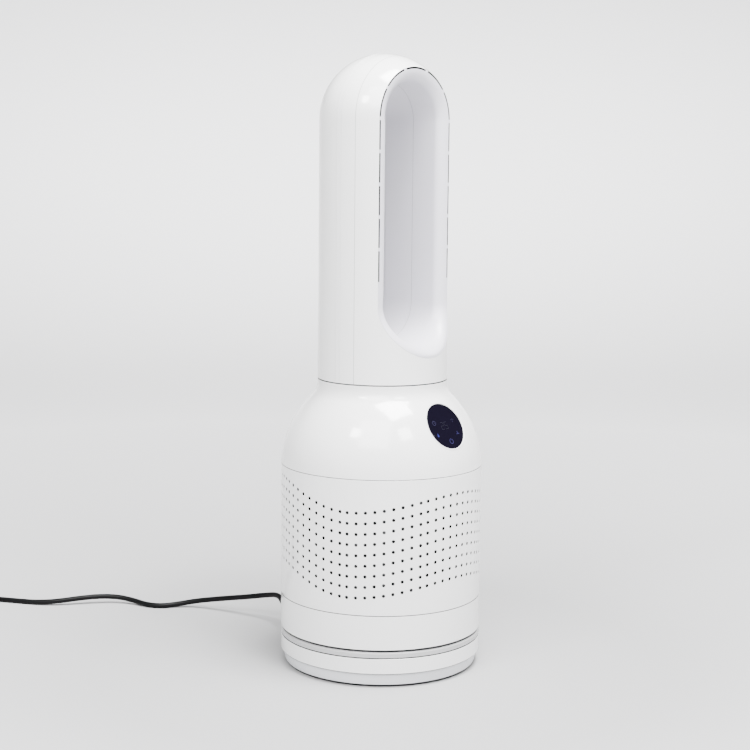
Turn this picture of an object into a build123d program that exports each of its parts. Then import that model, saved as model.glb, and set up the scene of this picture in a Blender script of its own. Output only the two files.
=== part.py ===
"""Bladeless tower air purifier with a perforated filter body on an oscillating base.

Millimetres. The origin is on the floor under the centre of the base, +Z is up
and the front, which carries the air outlet and the touch display, faces -Y.
Every separate piece is written to its own STEP file in parts/.
"""
from build123d import *
from math import asin, atan2, cos, degrees, pi, radians, sin, sqrt, tan
import os

# ---------------------------------------------------------------- driving sizes
BODY_D = 210.0            # round body: base, filter cover and shoulder
HEAD_D = 134.6            # tower head, a cylinder under a half-sphere dome
SHELL_T = 2.5             # wall of every moulded outer shell
SEAM = 0.6                # visible gap between fixed outer shells
FIT = 0.2                 # clearance of pieces that locate in each other
RUN = 0.06                # radial clearance of shafts in their bearings

FEET_H = 1.5              # height of the foot plate above the floor
FOOT_H = 13.0             # foot plate up to the step under the base wall
BASE_WALL_H = 16.5
TURN_RING_H = 5.5         # bright ring on top of the fixed base
TURN_GAP = 1.4            # dark running gap under the turning body
BAND_H = 35.5             # smooth band below the filter cover
COVER_H = 137.0           # perforated cover
SHOULDER_H = 88.1         # domed shoulder up to the neck
HEAD_STRAIGHT_H = 264.2   # cylindrical part of the head

# levels, from the floor up
STEP_Z = FEET_H + FOOT_H
BASE_TOP_Z = STEP_Z + BASE_WALL_H
TURN_RING_Z = BASE_TOP_Z + TURN_RING_H + SEAM
BAND_Z = TURN_RING_Z + TURN_GAP
COVER_Z = BAND_Z + BAND_H + SEAM
SHOULDER_Z = COVER_Z + COVER_H + SEAM
NECK_Z = SHOULDER_Z + SHOULDER_H
HEAD_Z = NECK_Z + SEAM
SPRING_Z = HEAD_Z + HEAD_STRAIGHT_H

BODY_R = BODY_D / 2
BODY_IN_R = BODY_R - SHELL_T
HEAD_R = HEAD_D / 2
HEAD_IN_R = HEAD_R - SHELL_T

# ---- base and turntable
FOOT_TOP_R = BODY_R - 2.2
FOOT_LOW_R = BODY_R - 4.6
PLATE_T = 3.0             # floors, decks and flanges
PAD_R = 10.0
PAD_COUNT = 6
PAD_PCD_R = 88.0
PAD_RECESS = 1.5
WEIGHT_IN_R = 72.0
WEIGHT_OUT_R = 95.0
WEIGHT_H = 9.0
HUB_R = 20.0
HUB_BORE_R = 14.0
HUB_FLANGE_R = 32.0
BUSH_T = 3.4
GEAR_MODULE = 1.0
GEAR_TEETH = 70
PINION_TEETH = 14
GEAR_W = 6.0
GEAR_Z = 18.6
MOTOR_R = 23.0
MOTOR_H = 12.0
PINION_SHAFT_R = 2.5
GLIDE_IN_R = 78.0
GLIDE_OUT_R = 86.0
BASE_BOSS_R = 4.5
BASE_BOSS_PCD_R = 64.0
SCREW_R = 1.5
SCREW_HEAD_R = 3.0
SCREW_HEAD_H = 2.0
SCREW_PLAY = 0.1

# ---- mains cord
CORD_D = 6.0
GLAND_Z = 21.4
GLAND_R = 5.0
GLAND_COLLAR_R = 6.8
RELIEF_L = 28.0
RELIEF_TIP_R = 3.9
PLUG_L = 32.0
PLUG_H = 18.0
COIL_MID_R = 34.0
COIL_TURNS_ACROSS = 3
COIL_LAYERS = 2

# ---- filter body
HOLE_D = 3.4
HOLE_ROWS = 9
HOLE_ROW_PITCH = 10.75
HOLES_PER_SECTION = 9
HOLE_PITCH_DEG = 5.1
SECTIONS = 8
COVER_T = 2.2
# height of the top row above the cover's lower edge at its crests and troughs
WAVE = [(0.0, 118.3), (64.0, 103.6), (123.0, 126.6), (180.0, 112.0)]
CAGE_RING_W = 5.6
CAGE_RING_H = 4.0
CAGE_POSTS = 4
FILTER_OUT_R = 92.0
FILTER_IN_R = 54.0
FILTER_CAP_H = 6.0
PLEATS = 60
PLEAT_OUT_R = 88.5
PLEAT_IN_R = 62.0
PLEAT_T = 1.2
MESH_T = 1.0
CARBON_T = 4.0
SEAL_H = 2.6

# ---- shoulder and display
DOME_DROP = 4.3           # centre of the shoulder's sphere below its lower edge
LEDGE_T = 2.5             # ledge inside the shoulder that carries the fan
NECK_FILLET = 18.0
DISPLAY_ELEVATION = 30.5
DISPLAY_R = 24.7
BEZEL_W = 1.3
DISPLAY_LENS_T = 3.6
DISPLAY_DEPTH = 9.0

# ---- fan
BELL_THROAT_R = 56.0
BELL_T = 2.5
DUCT_LOW_R = 81.5
DUCT_TOP_R = 58.5
DUCT_T = 2.2
DUCT_STRAIGHT_H = 26.0
CUP_CLEARANCE = 1.3       # between the duct and the display's cup
IMPELLER_BLADES = 9
IMPELLER_GAP = 3.0
IMPELLER_H = 36.0
VANES = 11
FAN_HUB_R = 36.0
FAN_HUB_T = 2.6
FAN_MOTOR_H = 31.0
SHAFT_R = 4.0
BEARING_OUT_R = 9.0
BEARING_H = 5.0

# ---- head
LIP_R = 52.5              # half width and corner radius of the opening in the shells
SLOT_W = 1.9              # width of the air slot
INNER_R = 39.0            # half width of the clear opening
FLARE_Y = 33.2            # where the flare of the liner starts, from the centre plane
SCOOP_RISE = 78.3         # centre of the lower round end above the head's lower edge
SLOT_RISE = 103.8         # lower end of the air slot above the head's lower edge
SLOT_DASHES = 5           # dashes on each straight side, and again round the arch
SLOT_RIB = 3.4
LINER_T = 2.5
LIP_DEPTH = 4.5
SPLIT_Y = -4.0            # seam between front and rear halves
TRIM_W = 6.0
PART_GAP = 0.2            # gap beside the side trim
COLLAR_H = 26.0
COLLAR_T = 3.2

SCOOP_Z = HEAD_Z + SCOOP_RISE
SLOT_Z = HEAD_Z + SLOT_RISE
OUT = "parts"
LOW = (Align.CENTER, Align.CENTER, Align.MIN)


# ---------------------------------------------------------------- shared helpers
def ring(outer_r, inner_r, z0, z1):
    """Flat-ended tube about the Z axis; a plain disc when inner_r is 0."""
    body = Pos(0, 0, z0) * Cylinder(outer_r, z1 - z0, align=LOW)
    if inner_r > 0:
        body -= Pos(0, 0, z0 - 1) * Cylinder(inner_r, z1 - z0 + 2, align=LOW)
    return body


def turned(*corners):
    """Solid of revolution about Z through (radius, height) corners."""
    return revolve(Plane.XZ * make_face(Polyline(*corners, close=True)), Axis.Z)


def polar(centre, radius, angle):
    """Point at an angle in degrees from a centre, in the plane of an outline."""
    return (centre[0] + radius * cos(radians(angle)), centre[1] + radius * sin(radians(angle)))


def arc(centre, radius, start, end):
    """Circular arc edge between two angles in degrees."""
    return ThreePointArc(*[polar(centre, radius, angle) for angle in (start, (start + end) / 2, end)])


def around(count, radius, start=0.0):
    """Places at even steps round the Z axis, each turned to face outwards."""
    return [Rot(0, 0, start + 360 * i / count) * Pos(radius, 0, 0) for i in range(count)]


def screw(z_head, z_tip):
    """Pan-head screw along Z; the head lies on the far side of z_head from the tip."""
    way = 1 if z_tip > z_head else -1
    low = min(z_head, z_tip)
    shank = Pos(0, 0, low) * Cylinder(SCREW_R, abs(z_tip - z_head), align=LOW)
    head_low = z_head - SCREW_HEAD_H if way > 0 else z_head
    head = Pos(0, 0, head_low) * Cylinder(SCREW_HEAD_R, SCREW_HEAD_H, align=LOW)
    slot = Pos(0, 0, z_head - way * SCREW_HEAD_H) * Box(1.0, 4.0, 1.2)
    return shank + (head - slot)


def save(name, *solids):
    """Write one node; several solids make a group of separate pieces."""
    pieces = [s for shape in solids for s in shape.solids()]
    shape = pieces[0] if len(pieces) == 1 else Compound(children=pieces)
    shape.label = name
    export_step(shape, f"{OUT}/{name}.step")
    volume = sum(s.volume for s in pieces)
    print(f"{name:24s} {len(pieces):3d} solid(s) {volume / 1000:9.2f} cm3")


# ---------------------------------------------------------------- base
def tray_floor_z():
    return FEET_H + PLATE_T


def make_foot_plate():
    """Tapered tray that closes the base from below."""
    top = STEP_Z - SEAM
    floor, rim_low, rim_top = tray_floor_z(), FOOT_LOW_R - SHELL_T, FOOT_TOP_R - SHELL_T
    plate = turned((0, FEET_H), (FOOT_LOW_R - 1.5, FEET_H), (FOOT_LOW_R, FEET_H + 1.5), (FOOT_TOP_R, top),
                   (0, top))
    plate -= turned((0, floor), (rim_low, floor), (rim_top, top), (rim_top, top + 1), (0, top + 1))
    for place in around(PAD_COUNT, PAD_PCD_R, 30):
        plate -= place * Pos(0, 0, FEET_H - 1) * Cylinder(PAD_R + FIT, PAD_RECESS + 1, align=LOW)
    for place in around(PAD_COUNT, BASE_BOSS_PCD_R, 30):
        plate -= place * Pos(0, 0, FEET_H - 1) * Cylinder(SCREW_R + SCREW_PLAY, PLATE_T + 2, align=LOW)
        plate -= place * Pos(0, 0, FEET_H - 1) * Cylinder(SCREW_HEAD_R + FIT, SCREW_HEAD_H + 1, align=LOW)
    return plate


def make_rubber_feet():
    pad = fillet(Cylinder(PAD_R, FEET_H + PAD_RECESS, align=LOW).edges().group_by(Axis.Z)[0], 0.6)
    return [place * pad for place in around(PAD_COUNT, PAD_PCD_R, 30)]


def deck_z():
    return BASE_TOP_Z - PLATE_T


def bush_out_r():
    return HUB_R + RUN + BUSH_T


def make_base_shell():
    """Upright wall of the base with its top deck, screw bosses and cord hole."""
    wall = turned(
        (FOOT_TOP_R, STEP_Z), (BODY_R - 0.6, STEP_Z), (BODY_R, STEP_Z + 0.8), (BODY_R, BASE_TOP_Z - 0.8),
        (BODY_R - 0.8, BASE_TOP_Z), (bush_out_r() + RUN, BASE_TOP_Z), (bush_out_r() + RUN, deck_z()),
        (BODY_IN_R, deck_z()), (BODY_IN_R, STEP_Z + PLATE_T), (FOOT_TOP_R - SHELL_T, STEP_Z + PLATE_T),
        (FOOT_TOP_R - SHELL_T, STEP_Z))
    boss_z = tray_floor_z() + FIT
    for place in around(PAD_COUNT, BASE_BOSS_PCD_R, 30):
        wall += place * Pos(0, 0, boss_z) * Cylinder(BASE_BOSS_R, deck_z() - boss_z, align=LOW)
    for place in around(PAD_COUNT, BASE_BOSS_PCD_R, 30):
        wall -= place * Pos(0, 0, boss_z - 1) * Cylinder(SCREW_R + SCREW_PLAY, 17, align=LOW)
    hole = Pos(0, BODY_R - 8, GLAND_Z) * Rot(-90, 0, 0) * Cylinder(GLAND_R + FIT, 20, align=LOW)
    return wall - hole


def make_base_weight():
    return ring(WEIGHT_OUT_R, WEIGHT_IN_R, tray_floor_z(), tray_floor_z() + WEIGHT_H)


def make_turntable_ring():
    """Rounded ring on the base deck that borders the running gap."""
    low = BASE_TOP_Z
    outline = (arc((BODY_R - 2.0, TURN_RING_Z - 2.0), 2.0, 0, 90)
               + Polyline((BODY_R - 2.0, TURN_RING_Z), (BODY_R - 9, TURN_RING_Z), (BODY_R - 9, low),
                          (BODY_R - 3, low), (BODY_R - 3, low + SEAM), (BODY_R, low + SEAM),
                          (BODY_R, TURN_RING_Z - 2.0)))
    return revolve(Plane.XZ * make_face(outline), Axis.Z)


def make_glide_ring():
    return ring(GLIDE_OUT_R, GLIDE_IN_R, BASE_TOP_Z, BAND_Z - 0.3)


def make_pivot_bush():
    inner = HUB_R + RUN
    return turned((inner, deck_z() - 2.4), (bush_out_r(), deck_z() - 2.4), (bush_out_r(), BASE_TOP_Z),
                  (bush_out_r() + 4, BASE_TOP_Z), (bush_out_r() + 4, BASE_TOP_Z + 1.5),
                  (inner, BASE_TOP_Z + 1.5))


def gear_centre():
    return GEAR_MODULE * (GEAR_TEETH + PINION_TEETH) / 2


def involute_gear(teeth, bore_r, z0, height, phase, addendum):
    """Spur gear with involute flanks; phase turns the middle of its first tooth, in degrees."""
    pitch_r = GEAR_MODULE * teeth / 2
    base_r = pitch_r * cos(radians(20))
    root_r = pitch_r - 1.25 * GEAR_MODULE
    tip_r = pitch_r + addendum * GEAR_MODULE
    backlash = 0.08
    half = pi / (2 * teeth) - backlash / pitch_r

    def inv(r):
        if r <= base_r:
            return 0.0
        a = sqrt((r / base_r) ** 2 - 1)
        return a - atan2(a, 1)

    start_r = max(root_r, base_r)
    radii = [root_r] * (root_r < base_r) + [start_r + (tip_r - start_r) * k / 3 for k in range(4)]
    points = []
    for tooth in range(teeth):
        middle = radians(phase) + 2 * pi * tooth / teeth
        flank = [(r, half + inv(pitch_r) - inv(r)) for r in radii]
        points += [(r * cos(middle - a), r * sin(middle - a)) for r, a in flank]
        points += [(r * cos(middle + a), r * sin(middle + a)) for r, a in reversed(flank)]
    blank = extrude(make_face(Polyline(*points, close=True)), height)
    return Pos(0, 0, z0) * (blank - Pos(0, 0, -1) * Cylinder(bore_r, height + 2, align=LOW))


def make_oscillation_motor():
    """Flat synchronous gear motor with two ears that stands on the tray."""
    low = tray_floor_z()
    can = fillet(Cylinder(MOTOR_R, MOTOR_H - 1.2, align=LOW).edges().group_by(Axis.Z)[-1], 1.0)
    ears = Box(12, 2 * MOTOR_R + 14, 2.0, align=LOW)
    for side in (-1, 1):
        ears -= Pos(0, side * (MOTOR_R + 3.8), -1) * Cylinder(SCREW_R + SCREW_PLAY, 4, align=LOW)
    nose = Pos(0, 0, MOTOR_H - 1.2) * Cylinder(5.0, 0.8, align=LOW)
    body = can + ears + nose - Pos(0, 0, MOTOR_H - 6) * Cylinder(PINION_SHAFT_R + RUN, 8, align=LOW)
    return Pos(gear_centre(), 0, low) * body


def make_motor_screws():
    z = tray_floor_z() + 2.0
    return [Pos(gear_centre(), side * (MOTOR_R + 3.8), 0) * screw(z, z - 1.9) for side in (-1, 1)]


def make_drive_pinion():
    """Pinion and its own spindle, which turns in the gear motor."""
    gear = involute_gear(PINION_TEETH, 0.5, GEAR_Z, GEAR_W, 180.0, 0.8)
    spindle_low = tray_floor_z() + MOTOR_H - 5.5
    spindle = Pos(0, 0, spindle_low) * Cylinder(PINION_SHAFT_R, GEAR_Z + GEAR_W + 1 - spindle_low, align=LOW)
    return Pos(gear_centre(), 0, 0) * (gear + spindle)


def make_base_screws():
    seat = FEET_H + SCREW_HEAD_H
    return [place * screw(seat, seat + 14) for place in around(PAD_COUNT, BASE_BOSS_PCD_R, 30)]


# ---------------------------------------------------------------- mains cord
# Centre line of the cord beyond the tip of the strain relief: a slack rise, then along the floor.
CORD_ROUTE = [
    (4, 154, 26), (13, 171, 32.5), (13, 195, 27), (6, 217, 22), (2, 238, 17.5), (-5, 260, 13),
    (-15, 284, 8), (-30, 301, 3.6), (-47, 309, 3), (-56, 326, 3), (-59, 346, 4.8), (-68, 364, 7.5),
    (-85, 379, 8.5), (-106, 392, 7.5), (-127, 406, 5), (-143, 426, 3), (-155, 448, 3), (-168, 472, 3),
    (-177, 497, 3)]
COIL_CENTRE = (-214.6, 483.4)
PLUG_OFFSET = (-9.4, 23.6)   # middle of the plug from the middle of the coil, seen from above
PLUG_TURN = 163.0         # direction the plug points in, seen from above


def relief_start_y():
    return BODY_R + 3.2


def make_cord_gland():
    """Gland in the base wall with its tapered, ribbed strain relief."""
    y_inside = BODY_IN_R - 5
    neck = Pos(0, y_inside, 0) * Rot(-90, 0, 0) * Cylinder(GLAND_R, relief_start_y() - y_inside, align=LOW)
    collar = Pos(0, BODY_R + 0.1, 0) * Rot(-90, 0, 0) * Cylinder(GLAND_COLLAR_R, 3.1, align=LOW)
    relief = Pos(0, relief_start_y(), 0) * Rot(-90, 0, 0) * Cone(GLAND_R, RELIEF_TIP_R, RELIEF_L, align=LOW)
    for k in range(5):
        y = relief_start_y() + 4 + 4.6 * k
        r = GLAND_R + (RELIEF_TIP_R - GLAND_R) * (y - relief_start_y()) / RELIEF_L
        groove = Rot(-90, 0, 0) * (Cylinder(r + 1, 1.4) - Cylinder(r - 0.7, 1.4))
        relief -= Pos(0, y, 0) * groove
    return Pos(0, 0, GLAND_Z) * (neck + collar + relief)


def make_power_cord():
    """Straight runs joined by the largest tangent arcs that both runs allow."""
    route = [(0, relief_start_y() + RELIEF_L, GLAND_Z)] + CORD_ROUTE
    vectors = [Vector(*p) for p in route]
    radii = []
    for before, here, after in zip(vectors, vectors[1:], vectors[2:]):
        turn = (here - before).get_angle(after - here)
        shorter = min((here - before).length, (after - here).length)
        radii.append(0.45 * shorter / tan(radians(turn / 2)))
    print("cord radii", [round(r) for r in radii])
    path = FilletPolyline(*route, radius=radii)
    start = Plane(origin=path @ 0, z_dir=path % 0)
    tube = sweep(start * Circle(CORD_D / 2), path=path)
    share = tube.volume / (pi * CORD_D ** 2 / 4 * path.length)
    print(f"cord tube {path.length:.1f} mm, volume ratio {share:.4f}")
    return tube


def make_cord_coil():
    """Outer shape of the wound coil, a ring of three turns side by side in two layers."""
    inner = COIL_MID_R - COIL_TURNS_ACROSS * CORD_D / 2
    outer = COIL_MID_R + COIL_TURNS_ACROSS * CORD_D / 2
    coil = ring(outer, inner, 0, COIL_LAYERS * CORD_D)
    coil = fillet(coil.edges().filter_by(GeomType.CIRCLE), CORD_D / 2 - 0.2)
    return Pos(*COIL_CENTRE, 0) * coil


def plug_place():
    """The plug lies on top of the coil."""
    x, y = COIL_CENTRE[0] + PLUG_OFFSET[0], COIL_CENTRE[1] + PLUG_OFFSET[1]
    return Pos(x, y, COIL_LAYERS * CORD_D + PLUG_H / 2) * Rot(0, 0, PLUG_TURN)


def make_power_plug():
    grip = loft([Plane.YZ * RectangleRounded(13, 12, 4),
                 Plane.YZ.offset(PLUG_L) * RectangleRounded(24, PLUG_H, 5)])
    tail = Rot(0, -90, 0) * Cone(5.0, 3.6, 14, align=LOW)
    return plug_place() * Pos(-PLUG_L / 2, 0, 0) * (grip + tail)


def make_plug_pins():
    blade = Box(17, 1.5, 6.3, align=(Align.MIN, Align.CENTER, Align.CENTER))
    return [plug_place() * Pos(PLUG_L / 2, side * 6.35, 0) * blade for side in (-1, 1)]


# ---------------------------------------------------------------- turning lower body
def floor_top_z():
    return BAND_Z + PLATE_T


def tray_z():
    """Underside of the filter tray."""
    return COVER_Z - SEAM - PLATE_T - 0.6


def make_lower_housing():
    """Smooth band: wall, floor that turns on the glide ring, and a ledge for the tray."""
    top = BAND_Z + BAND_H
    ledge = tray_z()
    housing = turned(
        (HUB_R + FIT, BAND_Z), (BODY_R - 1.2, BAND_Z), (BODY_R, BAND_Z + 1.2), (BODY_R, top),
        (BODY_IN_R, top), (BODY_IN_R, ledge), (BODY_IN_R - 4, ledge), (BODY_IN_R - 4, ledge - 2),
        (BODY_IN_R, ledge - 6), (BODY_IN_R, floor_top_z()), (HUB_R + FIT, floor_top_z()))
    for place in around(4, HUB_FLANGE_R - 6, 45):
        housing -= place * Pos(0, 0, BAND_Z - 1) * Cylinder(SCREW_R + SCREW_PLAY, PLATE_T + 2, align=LOW)
    for x in (-1, 1):
        for y in (-1, 1):
            housing += Pos(-55 + x * 14, y * 32, floor_top_z()) * Cylinder(3, 6, align=LOW)
    return housing


def make_pivot_hub():
    """Flanged hollow hub that hangs through the base deck and carries the gear."""
    low = GEAR_Z
    hub = turned((HUB_BORE_R, low), (HUB_R, low), (HUB_R, floor_top_z()), (HUB_FLANGE_R, floor_top_z()),
                 (HUB_FLANGE_R, floor_top_z() + PLATE_T), (HUB_BORE_R, floor_top_z() + PLATE_T))
    for place in around(4, HUB_FLANGE_R - 6, 45):
        hub -= place * Pos(0, 0, floor_top_z() - 1) * Cylinder(SCREW_R + SCREW_PLAY, PLATE_T + 2, align=LOW)
    return hub


def make_hub_screws():
    seat = floor_top_z() + PLATE_T
    return [place * screw(seat, BAND_Z + 0.2) for place in around(4, HUB_FLANGE_R - 6, 45)]


def make_tower_gear():
    half_tooth = 180.0 / GEAR_TEETH
    return involute_gear(GEAR_TEETH, HUB_R + RUN, GEAR_Z, GEAR_W, half_tooth, 0.8)


def make_gear_retainer():
    return ring(HUB_R + 5, HUB_BORE_R, GEAR_Z - 1.6, GEAR_Z)


def make_power_board():
    return Pos(-55, 0, floor_top_z() + 6) * Box(40, 76, 1.6, align=LOW)


def make_power_board_parts():
    """Transformer, capacitors and terminal block of the mains supply."""
    z = floor_top_z() + 7.6
    transformer = Pos(-55, -18, z) * Box(22, 18, 15, align=LOW)
    capacitors = [Pos(-64 + 14 * k, 8, z) * Cylinder(5, 13, align=LOW) for k in range(2)]
    terminal = Pos(-55, 28, z) * Box(24, 9, 9, align=LOW)
    return [transformer, *capacitors, terminal]


def make_filter_tray():
    """Round deck over the electrics that centres the filter."""
    low, top, rim = tray_z(), filter_z(), BODY_IN_R - FIT
    return turned((HUB_R, low), (rim, low), (rim, top), (FILTER_IN_R - 1, top), (FILTER_IN_R - 1, top + 5),
                  (FILTER_IN_R - 4, top + 5), (FILTER_IN_R - 4, top), (HUB_R, top))


# ---------------------------------------------------------------- filter body
def filter_z():
    return tray_z() + PLATE_T


def bell_z():
    """Underside of the fan inlet plate."""
    return SHOULDER_Z - CAGE_RING_H - 0.5


def cage_out_r():
    return min(BODY_R - COVER_T - 2 * FIT, BODY_IN_R - FIT / 2)


def make_tower_cage():
    """Two rings and four posts that carry the upper body round the filter."""
    outer, inner = cage_out_r(), cage_out_r() - CAGE_RING_W
    cage = ring(outer, inner, filter_z(), filter_z() + CAGE_RING_H)
    cage += ring(outer, inner, SHOULDER_Z - 8, SHOULDER_Z)
    post = Box(CAGE_RING_W - 1.4, 12, SHOULDER_Z - filter_z(), align=LOW)
    post = Pos(outer - CAGE_RING_W / 2, 0, filter_z()) * post
    for place in around(CAGE_POSTS, 0, 45):
        cage += place * post
    return cage & ring(outer, inner, filter_z(), SHOULDER_Z)


def wave_height(angle):
    """Height of the top row of holes above the cover's lower edge; angle from the front."""
    turn = abs((angle + 180) % 360 - 180)
    for (a0, h0), (a1, h1) in zip(WAVE, WAVE[1:]):
        if turn <= a1:
            share = (1 - cos(pi * (turn - a0) / (a1 - a0))) / 2
            return h0 + (h1 - h0) * share
    return WAVE[-1][1]


def make_filter_cover():
    """Thin sleeve with rows of holes that follow a wave round the body."""
    cover = ring(BODY_R, BODY_R - COVER_T, COVER_Z, COVER_Z + COVER_H)
    outer_edges = cover.edges().filter_by(GeomType.CIRCLE).sort_by(lambda e: e.radius)[-2:]
    cover = fillet(outer_edges, 0.5)
    pins = []
    for section in range(SECTIONS):
        for k in range(HOLES_PER_SECTION):
            offset = (k - (HOLES_PER_SECTION - 1) / 2) * HOLE_PITCH_DEG
            angle = 360 / SECTIONS * section + offset
            for row in range(HOLE_ROWS):
                z = COVER_Z + wave_height(angle) - row * HOLE_ROW_PITCH
                pin = Cylinder(HOLE_D / 2, COVER_T + 4)
                pins.append(Rot(0, 0, angle - 90) * Pos(BODY_R - COVER_T / 2, 0, z) * Rot(0, 90, 0) * pin)
    return cover - pins


def media_top_z():
    return bell_z() - SEAL_H - FILTER_CAP_H


def make_filter_cap(low):
    """Moulded end cap that holds the mesh, the pleats and the carbon core."""
    return ring(FILTER_OUT_R, FILTER_IN_R, low, low + FILTER_CAP_H)


def make_hepa_media():
    """Pleated sheet closed into a ring."""
    def zigzag(shift):
        points = []
        for k in range(PLEATS):
            a = 360 / PLEATS * k
            points.append(polar((0, 0), PLEAT_OUT_R + shift, a))
            points.append(polar((0, 0), PLEAT_IN_R + shift, a + 180 / PLEATS))
        return make_face(Polyline(*points, close=True))
    low = filter_z() + FILTER_CAP_H
    sheet = zigzag(0) - zigzag(-PLEAT_T)
    return Pos(0, 0, low) * extrude(sheet, media_top_z() - low)


def make_prefilter_mesh():
    return ring(FILTER_OUT_R - 1, FILTER_OUT_R - 1 - MESH_T, filter_z() + FILTER_CAP_H, media_top_z())


def make_carbon_core():
    return ring(FILTER_IN_R + 1 + CARBON_T, FILTER_IN_R + 1, filter_z() + FILTER_CAP_H, media_top_z())


def make_filter_seal():
    return ring(BELL_THROAT_R + 12, BELL_THROAT_R + 4, bell_z() - SEAL_H, bell_z())


# ---------------------------------------------------------------- shoulder
def dome_centre():
    return (0.0, SHOULDER_Z - DOME_DROP)


def neck_centre():
    """Centre of the concave fillet between the dome and the neck, as (radius, height)."""
    r = HEAD_R + NECK_FILLET
    return (r, dome_centre()[1] + sqrt((BODY_R + NECK_FILLET) ** 2 - r ** 2))


def make_shoulder_housing():
    """Spherical shoulder that sweeps up into the neck, with a pocket for the display."""
    dome, neck = dome_centre(), neck_centre()
    tangent = degrees(atan2(neck[1] - dome[1], neck[0] - dome[0]))
    outer_low = degrees(asin(DOME_DROP / BODY_R))
    inner_low = degrees(asin(DOME_DROP / BODY_IN_R))
    outline = (arc(dome, BODY_R, outer_low, tangent)
               + arc(neck, NECK_FILLET, 180 + tangent, 180)
               + Polyline((HEAD_R, neck[1]), (HEAD_R, NECK_Z), (HEAD_IN_R, NECK_Z), (HEAD_IN_R, neck[1]))
               + arc(neck, NECK_FILLET + SHELL_T, 180, 180 + tangent)
               + arc(dome, BODY_IN_R, tangent, inner_low)
               + Line(polar(dome, BODY_IN_R, inner_low), polar(dome, BODY_R, outer_low)))
    housing = revolve(Plane.XZ * make_face(outline), Axis.Z)
    ledge = ring(BODY_IN_R + SHELL_T / 3, BODY_IN_R - 6, SHOULDER_Z, SHOULDER_Z + LEDGE_T)
    pocket = display_place() * ring(bezel_r() + FIT, 0, -DISPLAY_DEPTH - 4, 8)
    return housing + ledge - pocket


def bezel_r():
    return DISPLAY_R + BEZEL_W


def display_place():
    """Middle of the display's face, +Z outwards along its axis."""
    distance = sqrt(BODY_R ** 2 - bezel_r() ** 2)
    centre = Pos(0, 0, dome_centre()[1]) * Rot(90 - DISPLAY_ELEVATION, 0, 0)
    return centre * Pos(0, 0, distance)


def make_display_bezel():
    seat = -DISPLAY_LENS_T
    bezel = ring(bezel_r(), DISPLAY_R + 0.1, seat, 0.5)
    bezel = fillet(bezel.edges().filter_by(GeomType.CIRCLE).group_by(Axis.Z)[-1], 0.4)
    return display_place() * bezel


def make_display_lens():
    lens = ring(DISPLAY_R, 0, -DISPLAY_LENS_T, -0.1)
    lens = fillet(lens.edges().filter_by(GeomType.CIRCLE).group_by(Axis.Z)[-1], 0.5)
    return display_place() * lens


def make_display_tray():
    """Cup behind the lens."""
    low = -DISPLAY_DEPTH
    cup = ring(bezel_r(), 0, low, -DISPLAY_LENS_T) - ring(DISPLAY_R - 1.2, 0, low + 1.6, -DISPLAY_LENS_T + 1)
    return display_place() * cup


def display_board_z():
    return -DISPLAY_DEPTH + 1.6


def make_display_board():
    return display_place() * ring(DISPLAY_R - 1.5, 0, display_board_z(), display_board_z() + 1.6)


def make_display_leds():
    """Digit block in the middle and one lamp under each of the five touch marks."""
    z = display_board_z() + 1.6
    digits = Pos(0, 2, z) * Box(14, 8, 1.8, align=LOW)
    lamps = [Rot(0, 0, a) * Pos(16, 0, z) * Box(3, 3, 1.6, align=LOW) for a in (-90, -18, 54, 126, 198)]
    return [display_place() * s for s in (digits, *lamps)]


# ---------------------------------------------------------------- fan
def fan_z():
    """Underside of the diffuser's flange, on the shoulder's ledge."""
    return SHOULDER_Z + LEDGE_T


def make_inlet_bellmouth():
    """Plate over the filter with a rounded inlet to the fan."""
    low, lip_r = bell_z(), 8.0
    rim = cage_out_r() - CAGE_RING_W - FIT
    centre = (BELL_THROAT_R + lip_r, low + lip_r)
    outline = (Line((rim, low), (centre[0], low))
               + arc(centre, lip_r, 270, 180)
               + Polyline((BELL_THROAT_R, centre[1]), (BELL_THROAT_R, low + 11),
                          (BELL_THROAT_R + BELL_T, low + 11), (BELL_THROAT_R + BELL_T, centre[1]))
               + arc(centre, lip_r - BELL_T, 180, 270)
               + Polyline((centre[0], low + BELL_T), (rim, low + BELL_T), (rim, low)))
    return revolve(Plane.XZ * make_face(outline), Axis.Z)


def display_cup_corner():
    """Corner of the display's cup nearest to the axis, as (radius, height)."""
    depth = sqrt(BODY_R ** 2 - bezel_r() ** 2) - DISPLAY_DEPTH
    tilt = radians(DISPLAY_ELEVATION)
    return (depth * cos(tilt) - bezel_r() * sin(tilt),
            dome_centre()[1] + depth * sin(tilt) + bezel_r() * cos(tilt))


def duct_taper():
    """Heights between which the duct narrows; it ends lower where the display's cup needs the room."""
    low = fan_z() + DUCT_STRAIGHT_H
    cup_r, cup_z = display_cup_corner()
    share = (DUCT_LOW_R - (cup_r - DUCT_T - CUP_CLEARANCE)) / (DUCT_LOW_R - DUCT_TOP_R)
    return low, min(NECK_Z - 14, low + (cup_z - low) / max(share, 0.1))


def duct_r(z):
    """Inner radius of the duct at a height."""
    low, high = duct_taper()
    share = min(max((z - low) / (high - low), 0), 1)
    return DUCT_LOW_R + (DUCT_TOP_R - DUCT_LOW_R) * share


def duct_points(shift):
    """Wall of the duct as (radius, height), moved outwards by shift."""
    return [(duct_r(z) + shift, z) for z in (fan_z(), *duct_taper(), NECK_Z - 2)]


def hub_z():
    return fan_z() + IMPELLER_H + 6


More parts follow.
